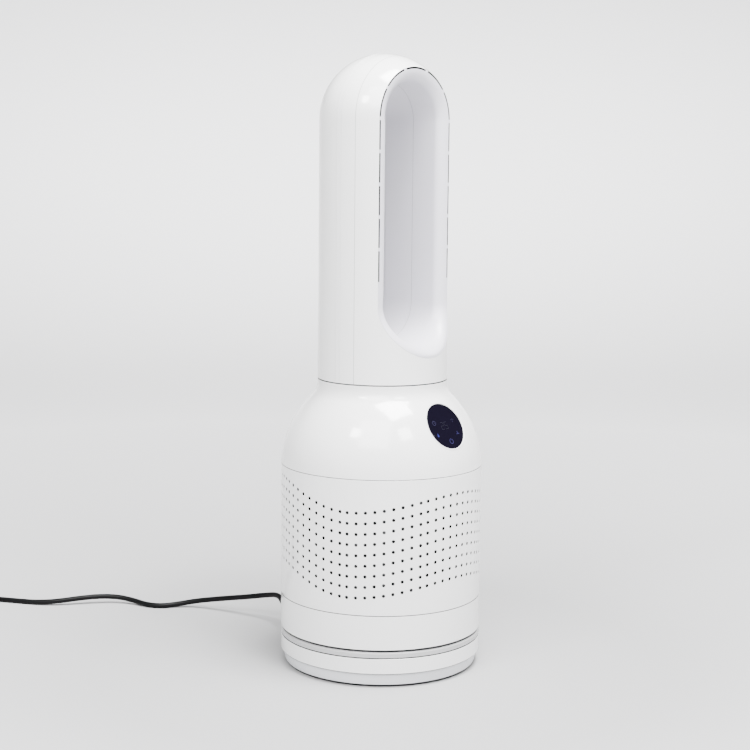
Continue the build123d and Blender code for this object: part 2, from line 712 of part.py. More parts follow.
def make_diffuser_housing():
    """Duct, flange, guide vanes and the hub that holds the fan motor."""
    inner, outer = duct_points(0), duct_points(DUCT_T)
    duct = turned(*inner, *reversed(outer))
    flange = ring(BODY_IN_R - 3, DUCT_LOW_R, fan_z(), fan_z() + 2.2)
    top = hub_z() + FAN_MOTOR_H + FAN_HUB_T
    hub = ring(FAN_HUB_R, 0, hub_z(), top) - ring(FAN_HUB_R - FAN_HUB_T, 0, hub_z() + FAN_HUB_T, top + 1)
    hub -= ring(BEARING_OUT_R + 1, 0, hub_z() - 1, hub_z() + FAN_HUB_T + 1)
    space = turned((0, fan_z()), *duct_points(0.5), (0, NECK_Z - 2))
    vane = Box(60, 1.6, FAN_MOTOR_H - 4, align=(Align.MIN, Align.CENTER, Align.MIN))
    vanes = [(place * Pos(0, 0, hub_z() + 2) * vane) & space for place in around(VANES, FAN_HUB_R - 1)]
    return duct + flange + hub + vanes


def motor_z():
    return hub_z() + FAN_HUB_T


def make_motor_housing():
    """Can of the fan motor with a bearing seat at each end."""
    r, low, high = FAN_HUB_R - FAN_HUB_T - FIT, motor_z(), motor_z() + FAN_MOTOR_H - 3
    can = ring(r, 0, low, high) - ring(r - 1.5, 0, low + 1.5, high - 1.5)
    for z in (low, high - BEARING_H):
        can += ring(BEARING_OUT_R + 2.5, 0, z, z + BEARING_H)
        can -= ring(BEARING_OUT_R, 0, z - 1, z + BEARING_H + 1)
    return can


def make_motor_bearings():
    """A deep-groove bearing at each end of the fan motor."""
    low, high = motor_z(), motor_z() + FAN_MOTOR_H - 3
    return [ring(BEARING_OUT_R - 0.02, SHAFT_R + RUN, z, z + BEARING_H) for z in (low, high - BEARING_H)]


def stator_span():
    return motor_z() + BEARING_H + 1.5, motor_z() + FAN_MOTOR_H - 3 - BEARING_H - 1.5


def make_motor_stator():
    """Stator ring with nine wound poles."""
    low, high = stator_span()
    r = FAN_HUB_R - FAN_HUB_T - FIT - 1.5
    stator = ring(r, r - 3.5, low, high)
    for place in around(9, 0):
        stator += place * Pos(22, 0, low) * Box(12, 7, high - low, align=LOW) & ring(r, 18.6, low, high)
    return stator


def make_motor_rotor():
    low, high = stator_span()
    return ring(18.0, SHAFT_R + 0.02, low, high)


def impeller_z():
    return fan_z() + 2.0


def make_motor_shaft():
    return ring(SHAFT_R, 0, impeller_z() - 6, motor_z() + FAN_MOTOR_H - 3.5)


def make_impeller_nut():
    low = impeller_z() - 5
    hexagon = extrude(RegularPolygon(7.0, 6), 5.0)
    return Pos(0, 0, low) * (hexagon - Cylinder(SHAFT_R + 0.02, 20))


def make_fan_impeller():
    """Mixed-flow wheel: a flared hub with backward-curved blades."""
    low, high = impeller_z(), impeller_z() + IMPELLER_H
    hub_low_r, hub_high_r, wall = 16.0, 50.0, 2.6
    hub = turned((SHAFT_R + 0.02, low), (hub_low_r, low), (hub_high_r, high), (hub_high_r - wall, high),
                 (hub_low_r - 1, low + 6), (SHAFT_R + 6, low + 6), (SHAFT_R + 6, high - 8),
                 (SHAFT_R + 0.02, high - 8))
    tips = [(duct_r(z) - IMPELLER_GAP, z) for z in (low + 20, max(duct_taper()[0], low + 21), high - 2)]
    envelope = turned((hub_low_r - 0.8, low), (BELL_THROAT_R - IMPELLER_GAP, low), *tips,
                      (hub_high_r - 1.6, high - 2))
    bend_r = 62.0
    sheet = Pos(0, -bend_r - 0.9, 0) * ring(bend_r + 1.8, bend_r, low, high)
    outer_side = Pos(0, 0, low) * Box(200, 130, IMPELLER_H, align=(Align.MIN, Align.CENTER, Align.MIN))
    blade = sheet & envelope & outer_side
    return hub + [place * blade for place in around(IMPELLER_BLADES, 0)]


def make_diffuser_tailcone():
    """Cap over the motor that smooths the air into the neck."""
    low = hub_z() + FAN_MOTOR_H + FAN_HUB_T
    r = FAN_HUB_R
    outline = Line((r - 2.5, low), (r, low))
    outline += Spline((r, low), (r * 0.72, low + 15), (0, low + 25), tangents=[(0, 1), (-1, 0)])
    outline += Line((0, low + 25), (0, low + 22))
    outline += Spline((0, low + 22), (r * 0.72 - 2.5, low + 13), (r - 2.5, low), tangents=[(1, 0), (0, -1)])
    return revolve(Plane.XZ * make_face(outline), Axis.Z)


def make_control_board():
    return Pos(0, 90.5, fan_z() + 2.2) * Box(46, 1.6, 26, align=LOW)


def make_control_board_parts():
    z, face = fan_z() + 5, 90.5 + 0.8
    chip = Pos(-8, face, z + 6) * Box(12, 1.6, 12, align=(Align.CENTER, Align.MIN, Align.MIN))
    socket = Pos(12, face, z + 2) * Box(14, 3, 6, align=(Align.CENTER, Align.MIN, Align.MIN))
    return [chip, socket]


def make_ioniser_module():
    return Pos(90, 0, fan_z() + 2.2) * Box(8, 26, 22, align=LOW)


def make_air_sensor():
    return Pos(-90, 0, fan_z() + 2.2) * Box(9, 30, 20, align=LOW)


# ---------------------------------------------------------------- head
def make_head_collar():
    """Ring that joins the head to the neck from inside."""
    outer = HEAD_IN_R - FIT
    low, high = NECK_Z - COLLAR_H / 2 + 4, HEAD_Z + COLLAR_H / 2 + 4
    collar = ring(outer, outer - COLLAR_T, low, high)
    hole = Pos(0, 0, HEAD_Z + 9) * Rot(0, 90, 0) * Cylinder(SCREW_R + SCREW_PLAY, 200, align=LOW)
    for place in around(4, 0, 45):
        collar -= place * hole
    return collar


def make_collar_screws():
    """Screws driven outwards from the collar into the head shells' inner wall line."""
    inside = HEAD_IN_R - FIT - COLLAR_T - 0.1
    one = Pos(0, 0, HEAD_Z + 9) * Rot(0, 90, 0) * screw(inside, inside + COLLAR_T)
    return [place * one for place in around(4, 0, 45)]


def head_form(radius):
    """Cylinder under a half-sphere, from the head's lower edge."""
    outline = Polyline((0, SPRING_Z + radius), (0, HEAD_Z), (radius, HEAD_Z), (radius, SPRING_Z))
    outline += arc((0, SPRING_Z), radius, 0, 90)
    return revolve(Plane.XZ * make_face(outline), Axis.Z)


def stadium(half_width, y0, y1):
    """Upright prism with round ends that runs along Y."""
    outline = (arc((0, SPRING_Z), half_width, 0, 180)
               + Line((-half_width, SPRING_Z), (-half_width, SCOOP_Z))
               + arc((0, SCOOP_Z), half_width, 180, 360)
               + Line((half_width, SCOOP_Z), (half_width, SPRING_Z)))
    face = Plane.XZ.offset(-y1) * make_face(outline)
    return extrude(face, y1 - y0)


def slab(y0, y1):
    box = Box(3 * HEAD_D, y1 - y0, SPRING_Z + HEAD_D, align=(Align.CENTER, Align.MIN, Align.MIN))
    return Pos(0, y0, HEAD_Z - 5) * box


def make_head_shell(y0, y1):
    shell = head_form(HEAD_R) - head_form(HEAD_IN_R)
    return (shell & slab(y0, y1)) - stadium(LIP_R, -HEAD_D, HEAD_D)


def trim_end():
    return SPLIT_Y + TRIM_W


def make_head_front_shell():
    return make_head_shell(-HEAD_D, SPLIT_Y)


def make_head_rear_shell():
    return make_head_shell(trim_end(), HEAD_D)


def make_head_side_trim():
    """Narrow band over the head between the front and rear shells."""
    band = head_form(HEAD_R) - head_form(HEAD_IN_R)
    return band & slab(SPLIT_Y + PART_GAP, trim_end() - PART_GAP)


def liner_profile(slope, closed, seam):
    """Section of the liner wall: x across it from the opening's middle line, y along the head's depth.

    slope is the angle below the horizontal round the lower end, 0 on the straight sides.
    A closed section reaches the shells' edge; an open one stops short of it by the air slot.
    The wall runs back to y = seam.
    """
    edge = LIP_R - FIT
    lip = edge if closed else LIP_R - SLOT_W
    front = -sqrt(HEAD_R ** 2 - (edge * cos(radians(slope))) ** 2)
    nose_x = LIP_R - SLOT_W
    flare = -FLARE_Y
    pull = 0.55
    nose = Bezier((INNER_R, flare), (INNER_R, flare + pull * (front - flare)),
                  (nose_x - pull * (nose_x - INNER_R), front), (nose_x, front))
    back_x = INNER_R + LINER_T
    walls = [(nose_x, front)] * closed + [(lip, front), (lip, front + LIP_DEPTH)]
    walls += [(back_x + 1.2, flare + LINER_T + 1.2), (back_x, flare + 9), (back_x, seam)]
    walls += [(INNER_R, seam), (INNER_R, flare)]
    return make_face(nose + Polyline(*walls))


def make_liner(slotted, seam):
    """Ring-shaped wall of the opening, from the front edge of the shells back to y = seam."""
    lower = []
    for k in range(13):
        slope = 180 * k / 12
        across, up = cos(radians(slope)), sin(radians(slope))
        plane = Plane(origin=(0, 0, SCOOP_Z), x_dir=(across, 0, -up), z_dir=(up, 0, across))
        lower.append(plane * liner_profile(slope, True, seam))
    liner = loft(lower)
    slot_z = SLOT_Z if slotted else SPRING_Z
    side = Pos(0, 0, SCOOP_Z) * extrude(liner_profile(0, True, seam), slot_z - SCOOP_Z)
    if slotted:
        side += Pos(0, 0, SLOT_Z) * extrude(liner_profile(0, False, seam), SPRING_Z - SLOT_Z)
    spring = (0, 0, SPRING_Z)
    arch = revolve(Pos(*spring) * liner_profile(0, not slotted, seam), Axis(spring, (0, -1, 0)), 180)
    liner = liner + side + mirror(side, Plane.YZ) + arch
    return liner + slot_ribs() if slotted else liner


def slot_ribs():
    """Small bridges that divide the air slot into dashes."""
    edge = LIP_R - FIT
    front = -sqrt(HEAD_R ** 2 - edge ** 2)
    low_x = LIP_R - SLOT_W - 0.5
    rib = Box(edge - low_x, LIP_DEPTH, SLOT_RIB, align=(Align.MIN, Align.MIN, Align.CENTER))
    rib = Pos(low_x, front, 0) * rib
    pitch = (SPRING_Z - SLOT_Z) / SLOT_DASHES
    ribs = []
    for k in range(1, SLOT_DASHES + 1):
        one = Pos(0, 0, SLOT_Z + k * pitch) * rib
        ribs += [one, mirror(one, Plane.YZ)]
    for k in range(1, SLOT_DASHES):
        ribs.append(Pos(0, 0, SPRING_Z) * Rot(0, -180 * k / SLOT_DASHES, 0) * rib)
    return ribs


def make_head_rear_liner():
    """Same section as the front without the slot, mirrored and carried on to the front liner."""
    return mirror(make_liner(False, -SPLIT_Y - FIT), Plane.XZ)


# ---------------------------------------------------------------- write every node
def main():
    os.makedirs(OUT, exist_ok=True)
    # fixed base
    save("foot_plate", make_foot_plate())
    save("rubber_feet", *make_rubber_feet())
    save("base_shell", make_base_shell())
    save("base_weight", make_base_weight())
    save("turntable_ring", make_turntable_ring())
    save("glide_ring", make_glide_ring())
    save("pivot_bush", make_pivot_bush())
    save("oscillation_motor", make_oscillation_motor())
    save("motor_screws", *make_motor_screws())
    save("base_screws", *make_base_screws())
    save("drive_pinion", make_drive_pinion())
    save("cord_gland", make_cord_gland())
    save("power_cord", make_power_cord())
    save("cord_coil", make_cord_coil())
    save("power_plug", make_power_plug())
    save("plug_pins", *make_plug_pins())
    # turning body
    save("lower_housing", make_lower_housing())
    save("pivot_hub", make_pivot_hub())
    save("tower_gear", make_tower_gear())
    save("gear_retainer", make_gear_retainer())
    save("hub_screws", *make_hub_screws())
    save("power_board", make_power_board())
    save("power_board_parts", *make_power_board_parts())
    save("filter_tray", make_filter_tray())
    save("tower_cage", make_tower_cage())
    save("filter_lower_cap", make_filter_cap(filter_z()))
    save("filter_upper_cap", make_filter_cap(media_top_z()))
    save("hepa_media", make_hepa_media())
    save("prefilter_mesh", make_prefilter_mesh())
    save("carbon_core", make_carbon_core())
    save("filter_seal", make_filter_seal())
    save("filter_cover", make_filter_cover())
    save("inlet_bellmouth", make_inlet_bellmouth())
    save("shoulder_housing", make_shoulder_housing())
    save("display_tray", make_display_tray())
    save("display_board", make_display_board())
    save("display_leds", *make_display_leds())
    save("display_lens", make_display_lens())
    save("display_bezel", make_display_bezel())
    save("diffuser_housing", make_diffuser_housing())
    save("motor_housing", make_motor_housing())
    save("motor_stator", make_motor_stator())
    save("motor_bearings", *make_motor_bearings())
    save("diffuser_tailcone", make_diffuser_tailcone())
    save("control_board", make_control_board())
    save("control_board_parts", *make_control_board_parts())
    save("ioniser_module", make_ioniser_module())
    save("air_sensor", make_air_sensor())
    # fan rotor
    save("fan_impeller", make_fan_impeller())
    save("motor_shaft", make_motor_shaft())
    save("motor_rotor", make_motor_rotor())
    save("impeller_nut", make_impeller_nut())
    # head
    save("head_collar", make_head_collar())
    save("collar_screws", *make_collar_screws())
    save("head_front_shell", make_head_front_shell())
    save("head_rear_shell", make_head_rear_shell())
    save("head_side_trim", make_head_side_trim())
    save("head_front_liner", make_liner(True, SPLIT_Y))
    save("head_rear_liner", make_head_rear_liner())


main()
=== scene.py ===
"""Looks of a bladeless tower air purifier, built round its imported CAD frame.

Metres. +Z is up and the front, with the air slot and the display, faces -Y.
"""
from math import cos, pi, radians, sin

import bmesh
import bpy
from mathutils import Matrix, Vector


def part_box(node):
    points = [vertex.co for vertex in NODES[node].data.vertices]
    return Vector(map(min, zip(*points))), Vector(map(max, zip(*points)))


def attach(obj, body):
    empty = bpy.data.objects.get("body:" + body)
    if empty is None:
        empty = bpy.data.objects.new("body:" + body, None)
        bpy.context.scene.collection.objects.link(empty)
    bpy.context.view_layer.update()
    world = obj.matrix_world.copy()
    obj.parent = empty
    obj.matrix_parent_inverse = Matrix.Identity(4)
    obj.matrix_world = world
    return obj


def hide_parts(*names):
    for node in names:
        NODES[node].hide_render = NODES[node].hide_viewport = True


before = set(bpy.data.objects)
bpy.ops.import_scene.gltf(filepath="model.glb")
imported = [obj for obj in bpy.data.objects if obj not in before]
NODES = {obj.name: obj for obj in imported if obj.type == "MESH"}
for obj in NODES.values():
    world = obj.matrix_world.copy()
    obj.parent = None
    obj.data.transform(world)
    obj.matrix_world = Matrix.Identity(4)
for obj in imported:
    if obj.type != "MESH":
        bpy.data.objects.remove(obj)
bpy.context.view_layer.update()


# ---------------------------------------------------------------- materials
MOTTLE_SCALE = 14.0                # noise scale of the broad mottling, per metre
FINE_RELIEF = 0.00005              # relief of the white mouldings


def new_material(name):
    """A node material and its principled shader."""
    mat = bpy.data.materials.new(name)
    mat.use_nodes = True
    return mat, mat.node_tree, mat.node_tree.nodes["Principled BSDF"]


def noise(tree, scale, detail=3.0, stretch=None):
    """Noise in the object's own coordinates, where one unit is a metre."""
    coord = tree.nodes.new("ShaderNodeTexCoord")
    tex = tree.nodes.new("ShaderNodeTexNoise")
    tex.inputs["Scale"].default_value = scale
    tex.inputs["Detail"].default_value = detail
    tex.inputs["Roughness"].default_value = 0.55
    source = coord.outputs["Object"]
    if stretch:
        mapping = tree.nodes.new("ShaderNodeMapping")
        mapping.inputs["Scale"].default_value = stretch
        tree.links.new(source, mapping.inputs["Vector"])
        source = mapping.outputs["Vector"]
    tree.links.new(source, tex.inputs["Vector"])
    return tex.outputs["Fac"]


def spread(tree, value, low, high, start=0.3, end=0.7):
    """Map start..end to low..high; the defaults are the range that noise mostly stays in."""
    node = tree.nodes.new("ShaderNodeMapRange")
    node.inputs["From Min"].default_value = start
    node.inputs["From Max"].default_value = end
    node.inputs["To Min"].default_value = low
    node.inputs["To Max"].default_value = high
    tree.links.new(value, node.inputs["Value"])
    return node.outputs["Result"]


def blend_colours(tree, value, first, second):
    """Colour between two, by a value."""
    ramp = tree.nodes.new("ShaderNodeValToRGB")
    ramp.color_ramp.elements[0].position = 0.32
    ramp.color_ramp.elements[1].position = 0.68
    ramp.color_ramp.elements[0].color = (*first, 1)
    ramp.color_ramp.elements[1].color = (*second, 1)
    tree.links.new(value, ramp.inputs["Fac"])
    return ramp.outputs["Color"]


def add_bump(tree, shader, height, strength, distance):
    """Relief from a height value."""
    bump = tree.nodes.new("ShaderNodeBump")
    bump.inputs["Strength"].default_value = strength
    bump.inputs["Distance"].default_value = distance
    tree.links.new(height, bump.inputs["Height"])
    tree.links.new(bump.outputs["Normal"], shader.inputs["Normal"])


def scale_colour(mat, share):
    """Multiply the material's colour by a value."""
    tree = mat.node_tree
    base_colour = tree.nodes["Principled BSDF"].inputs["Base Color"]
    scale = tree.nodes.new("ShaderNodeVectorMath")
    scale.operation = "SCALE"
    tree.links.new(base_colour.links[0].from_socket, scale.inputs[0])
    tree.links.new(share, scale.inputs["Scale"])
    tree.links.new(scale.outputs["Vector"], base_colour)


def surface(name, colour, rough, tint=0.97, vary=0.25, grain=900.0, bump=0.0, depth=0.0001,
            metallic=0.0, coat=0.0, coat_rough=0.05, specular=0.5, stretch=None):
    """Moulded plastic, metal or rubber: faint mottling, uneven gloss and a fine surface grain.

    tint is the share of the colour that is left in the darker mottles, vary the share by which the
    roughness changes, grain the fine noise's scale per metre, and bump and depth the strength and
    height of the relief it gives.
    """
    mat, tree, shader = new_material(name)
    darker = tuple(channel * tint for channel in colour)
    broad = noise(tree, MOTTLE_SCALE, detail=4.0)
    tree.links.new(blend_colours(tree, broad, darker, colour), shader.inputs["Base Color"])
    fine = noise(tree, grain, stretch=stretch)
    tree.links.new(spread(tree, fine, rough * (1 - vary), rough * (1 + vary)), shader.inputs["Roughness"])
    if bump > 0:
        add_bump(tree, shader, fine, bump, depth)
    shader.inputs["Metallic"].default_value = metallic
    shader.inputs["Coat Weight"].default_value = coat
    shader.inputs["Coat Roughness"].default_value = coat_rough
    shader.inputs["Specular IOR Level"].default_value = specular
    return mat


def white(name, colour, rough, tint=0.98, vary=0.2, grain=1400, bump=0.03, **coat):
    """White moulding with a very fine surface."""
    return surface(name, colour, rough, tint, vary, grain, bump, FINE_RELIEF, **coat)


def gloss_white(name):
    """The polished white of the outer shells."""
    return white(name, (0.80, 0.80, 0.80), 0.18, tint=0.985, bump=0.02, coat=0.5, coat_rough=0.06)


def woven(name, colour, gap, pitch):
    """Net of round threads: two crossed wave patterns set its colour and relief."""
    mat, tree, shader = new_material(name)
    coord = tree.nodes.new("ShaderNodeTexCoord")
    top = tree.nodes.new("ShaderNodeMath")
    top.operation = "MAXIMUM"
    for socket, direction in zip(top.inputs, ("Z", "X")):
        wave = tree.nodes.new("ShaderNodeTexWave")
        wave.bands_direction = direction
        wave.inputs["Scale"].default_value = 1 / pitch
        wave.inputs["Distortion"].default_value = 0.4
        tree.links.new(coord.outputs["Object"], wave.inputs["Vector"])
        tree.links.new(wave.outputs["Fac"], socket)
    tree.links.new(blend_colours(tree, top.outputs["Value"], gap, colour), shader.inputs["Base Color"])
    add_bump(tree, shader, top.outputs["Value"], strength=0.6, distance=0.0004)
    shader.inputs["Roughness"].default_value = 0.85
    shader.inputs["Sheen Weight"].default_value = 0.2
    return mat


def glowing(name, colour, strength):
    """Lit mark behind dark glass, a little uneven."""
    mat, tree, shader = new_material(name)
    level = noise(tree, 700.0, detail=2.0)
    dimmer = tuple(channel * 0.7 for channel in colour)
    tree.links.new(blend_colours(tree, level, dimmer, colour), shader.inputs["Emission Color"])
    shader.inputs["Base Color"].default_value = (*(channel * 0.1 for channel in colour), 1)
    shader.inputs["Emission Strength"].default_value = strength
    shader.inputs["Roughness"].default_value = 0.3
    return mat


# ---------------------------------------------------------------- painted shade in gaps and holes
BODY_R = 0.105
HEAD_R = 0.0673
FOOT_EDGE_Z = 0.0025               # below this the foot's lowest edge gets painted shadow, as it sits in its own shadow
NECK_Z = 0.3003                    # top edge of the shoulder
HEAD_Z = 0.3009                    # lower edge of the head
NECK_LINE = 0.0003                 # how far the line of painted shade between them reaches up and down
SLOT_Z = 0.4047                    # lower end of the air slot
SPRING_Z = 0.5651                  # where the head's dome and the arch of the opening start
SHELL_LIP = 0.0525                 # half width of the opening in the head's shells
LINER_LIP = 0.0506                 # outer half width of the liner beside the air slot
SLOT_FRONT_Y = -0.0421             # just behind the front of the slot's ribs
GROOVE_Y = -0.0205                 # fine line of painted groove shade down the side of the front shell
GROOVE_PAINTED_SHADE = 0.5                 # share of the shell's colour that is left in that painted shade
SPLIT_Y = -0.004                   # seam between the front and rear halves of the liner, drawn as a line of painted shade
SPLIT_PAINTED_SHADE = 0.6                  # share of the liner's colour that is left in that painted shade
LINE_HALF_W = 0.0003               # half width of those two lines
EDGE_DEPTH = 0.0002                # how far in from the outside the painted shade in a gap begins
TINY = 0.0001


def calc(tree, operation, first, second=None):
    """Math node on sockets or numbers."""
    node = tree.nodes.new("ShaderNodeMath")
    node.operation = operation
    for socket, value in zip(node.inputs, (first, second)):
        if value is None:
            continue
        if isinstance(value, (int, float)):
            socket.default_value = value
        else:
            tree.links.new(value, socket)
    return node.outputs["Value"]


def over(tree, value, limit):
    """1 above the limit, 0 below it."""
    return calc(tree, "GREATER_THAN", value, limit)


def under(tree, value, limit):
    """1 below the limit, 0 above it."""
    return calc(tree, "LESS_THAN", value, limit)


def largest(tree, first, *others):
    """The largest of some values; of yes-or-no values, whether any is 1."""
    for other in others:
        first = calc(tree, "MAXIMUM", first, other)
    return first


def off_line(tree, y, line_y):
    """0 within a fine line across the y axis, 1 elsewhere."""
    return over(tree, calc(tree, "ABSOLUTE", calc(tree, "SUBTRACT", y, line_y)), LINE_HALF_W)


def span(tree, x, y, z):
    """Length of the vector with these parts."""
    join = tree.nodes.new("ShaderNodeCombineXYZ")
    length = tree.nodes.new("ShaderNodeVectorMath")
    length.operation = "LENGTH"
    for socket, value in zip(join.inputs, (x, y, z)):
        if value is not None:
            tree.links.new(value, socket)
    tree.links.new(join.outputs["Vector"], length.inputs[0])
    return length.outputs["Value"]


def place(tree):
    """Sockets of the shaded point's x, y and z."""
    coord = tree.nodes.new("ShaderNodeTexCoord")
    split = tree.nodes.new("ShaderNodeSeparateXYZ")
    tree.links.new(coord.outputs["Object"], split.inputs["Vector"])
    return split.outputs["X"], split.outputs["Y"], split.outputs["Z"]


def head_place(tree):
    """x, y, z and rise of the shaded point; rise is its height in the dome, 0 below it."""
    x, y, z = place(tree)
    return x, y, z, calc(tree, "MAXIMUM", calc(tree, "SUBTRACT", z, SPRING_Z), 0.0)


def paint_shade(mat, lit):
    """Painted shade: black without gloss where lit is 0, standing in for the shade in a hole or a gap that
    opens into the dark inside.
    """
    tree = mat.node_tree
    shader = tree.nodes["Principled BSDF"]
    scale_colour(mat, lit)
    for name in ("Specular IOR Level", "Coat Weight"):
        level = shader.inputs[name].default_value
        tree.links.new(calc(tree, "MULTIPLY", lit, level), shader.inputs[name])
    return mat


def paint_shade_in_body_gaps(mat):
    """Painted shade below the round body's surface: the walls of the holes and the seams' faces."""
    tree = mat.node_tree
    x, y, _ = place(tree)
    return paint_shade(mat, over(tree, span(tree, x, y, None), BODY_R - EDGE_DEPTH))


def paint_shade_on_shoulder_top(mat):
    """Painted shade on the shoulder's top edge, under the head."""
    _, _, z = place(mat.node_tree)
    return paint_shade(mat, under(mat.node_tree, z, NECK_Z - NECK_LINE))


def paint_shade_in_head_gaps(mat):
    """Painted shade below the head's surface: the shell side of the air slot and the seams beside the trim.

    The head's lower edge gets painted shade too, and a fine grey line of painted groove shade runs down the
    side of the front shell.
    """
    tree = mat.node_tree
    x, y, z, rise = head_place(tree)
    outside = over(tree, span(tree, x, y, rise), HEAD_R - EDGE_DEPTH)
    in_opening = under(tree, span(tree, x, None, rise), SHELL_LIP - TINY)
    # painted groove shade: the shell's colour is halved along a fine line
    groove = largest(tree, off_line(tree, y, GROOVE_Y), in_opening, GROOVE_PAINTED_SHADE)
    above_neck = over(tree, z, HEAD_Z + NECK_LINE)
    lit = calc(tree, "MULTIPLY", largest(tree, outside, in_opening), above_neck)
    return paint_shade(mat, calc(tree, "MULTIPLY", lit, groove))


def paint_shade_in_liner_slot(mat):
    """Painted shade on the liner's side of the air slot, and a thin grey line of painted shade where its
    halves meet.
    """
    tree = mat.node_tree
    x, y, z, rise = head_place(tree)
    in_opening = under(tree, span(tree, x, None, rise), LINER_LIP - TINY)
    rear_half = over(tree, y, 0.0)
    rib_front = under(tree, y, SLOT_FRONT_Y)
    below_slot = under(tree, z, SLOT_Z)
    lit = largest(tree, in_opening, rear_half, rib_front, below_slot)
    # painted seam shade: a thin grey line where the liner's halves meet
    seam = largest(tree, off_line(tree, y, SPLIT_Y), SPLIT_PAINTED_SHADE)
    return paint_shade(mat, calc(tree, "MULTIPLY", lit, seam))


def paint_shadow_on_foot_edge(mat):
    """Painted shadow on the foot's lowest edge, where it meets its shadow."""
    _, _, z = place(mat.node_tree)
    return paint_shade(mat, over(mat.node_tree, z, FOOT_EDGE_Z))


# ---------------------------------------------------------------- looks of the CAD nodes
MATERIALS = {
    "body": paint_shade_in_body_gaps(gloss_white("gloss_white_body")),
    "head": paint_shade_in_head_gaps(gloss_white("gloss_white_head")),
    "shoulder": paint_shade_on_shoulder_top(gloss_white("gloss_white_shoulder")),
    "trim": paint_shade_in_head_gaps(white("satin_white_trim", (0.78, 0.78, 0.785), 0.26)),
    # the ring's dark grey is painted shade from the gaps above and below it, on white plastic
    "ring": white("satin_white_ring_painted_shade", (0.40, 0.40, 0.405), 0.26),
    # the liner's grey is partly its own colour and partly painted shade of the deep opening
    "liner": paint_shade_in_liner_slot(white("satin_white_liner", (0.60, 0.59, 0.64), 0.36, vary=0.15, grain=1600)),
    "foot": paint_shadow_on_foot_edge(white("white_foot", (0.72, 0.73, 0.755), 0.30, tint=0.97, bump=0.04)),
    "bezel": surface("bezel_white", (0.86, 0.86, 0.87), 0.14, 0.99, 0.2, 1600, coat=0.6, coat_rough=0.03),
    "inner": surface("moulded_grey", (0.45, 0.46, 0.48), 0.5, 0.94, 0.15, 1200, 0.10),
    "dark": surface("moulded_black", (0.035, 0.035, 0.038), 0.45, 0.8, 0.2, 1200, 0.10),
    "glass": surface("display_glass", (0.0028, 0.0021, 0.0060), 0.12, 0.8, 0.3, 500, specular=0.05),
    "rubber": surface("foot_rubber", (0.03, 0.03, 0.031), 0.8, 0.8, 0.1, 1500, 0.3, 0.0002, specular=0.3),
    "cord": surface("cord_jacket", (0.0022, 0.0022, 0.0025), 0.45, 0.8, 0.2, 1800, 0.15, 0.0001,
                    specular=0.12),
    "steel": surface("turned_steel", (0.58, 0.58, 0.59), 0.32, 0.93, 0.3, 900, 0.1, metallic=1.0,
                     stretch=(1, 1, 12)),
    "zinc": surface("zinc_screws", (0.62, 0.61, 0.58), 0.38, 0.9, 0.3, 1500, 0.1, metallic=1.0),
    "iron": surface("cast_iron_weight", (0.12, 0.12, 0.125), 0.65, 0.75, 0.15, 500, 0.6, 0.0004,
                    metallic=0.6),
    "acetal": surface("natural_acetal", (0.78, 0.78, 0.74), 0.38, 0.96, 0.15, 1200, 0.05),
    "brass": surface("plug_brass", (0.78, 0.60, 0.28), 0.24, 0.93, 0.3, 900, 0.06, metallic=1.0,
                     stretch=(8, 1, 1)),
    "board": surface("solder_mask", (0.02, 0.14, 0.06), 0.35, 0.8, 0.2, 900, 0.1, coat=0.4),
    "copper": surface("enamelled_copper", (0.42, 0.17, 0.06), 0.35, 0.75, 0.3, 700, 0.5, 0.0003,
                      metallic=0.7, stretch=(1, 1, 9)),
    "paper": surface("filter_paper", (0.82, 0.82, 0.78), 0.9, 0.92, 0.05, 2200, 0.4, 0.0002, specular=0.2),
    "carbon": surface("carbon_granules", (0.015, 0.015, 0.016), 0.75, 0.5, 0.15, 420, 1.0, 0.0010),
    "foam": surface("seal_foam", (0.05, 0.05, 0.053), 0.95, 0.8, 0.05, 1300, 0.6, 0.0004, specular=0.2),
    "mesh": woven("woven_prefilter", (0.055, 0.057, 0.06), (0.012, 0.012, 0.013), pitch=0.0016),
    "lamp": glowing("display_lamp", (0.20, 0.16, 0.85), 0.25),
}
NODE_LOOKS = {
    "body": "base_shell lower_housing filter_cover",
    "head": "head_front_shell head_rear_shell",
    "shoulder": "shoulder_housing",
    "trim": "head_side_trim",
    "ring": "turntable_ring",
    "liner": "head_front_liner head_rear_liner",
    "foot": "foot_plate",
    "bezel": "display_bezel",
    "inner": "pivot_hub filter_tray filter_lower_cap filter_upper_cap inlet_bellmouth"
             " diffuser_housing diffuser_tailcone head_collar",
    "dark": "tower_cage power_board_parts display_tray control_board_parts ioniser_module air_sensor"
            " fan_impeller",
    "glass": "display_lens",
    "rubber": "rubber_feet",
    "cord": "cord_gland power_cord cord_coil power_plug",
    "steel": "oscillation_motor motor_housing motor_bearings motor_shaft motor_rotor",
    "zinc": "motor_screws base_screws hub_screws collar_screws impeller_nut",
    "iron": "base_weight",
    "acetal": "glide_ring pivot_bush drive_pinion tower_gear gear_retainer",
    "brass": "plug_pins",
    "board": "power_board display_board control_board",
    "copper": "motor_stator",
    "paper": "hepa_media",
    "carbon": "carbon_core",
    "foam": "filter_seal",
    "mesh": "prefilter_mesh",
    "lamp": "display_leds",
}
for look, names in NODE_LOOKS.items():
    for node_name in names.split():
        NODES[node_name].data.materials.clear()
        NODES[node_name].data.materials.append(MATERIALS[look])


def add_object(name, data, mat):
    """A new object in the scene, with its material."""
    obj = bpy.data.objects.new(name, data)
    bpy.context.scene.collection.objects.link(obj)
    data.materials.append(mat)
    return obj


# ---------------------------------------------------------------- camera
CAMERA_FROM_AXIS = 1.6249
CAMERA_HEIGHT = 0.5131
CAMERA_AZIMUTH = radians(46.8)     # the camera stands this far to the left of dead front
PITCH, PAN, ROLL = radians(7.364), radians(-0.270), radians(0.535)
LENS_MM = 75.45
SENSOR_MM = 36.0


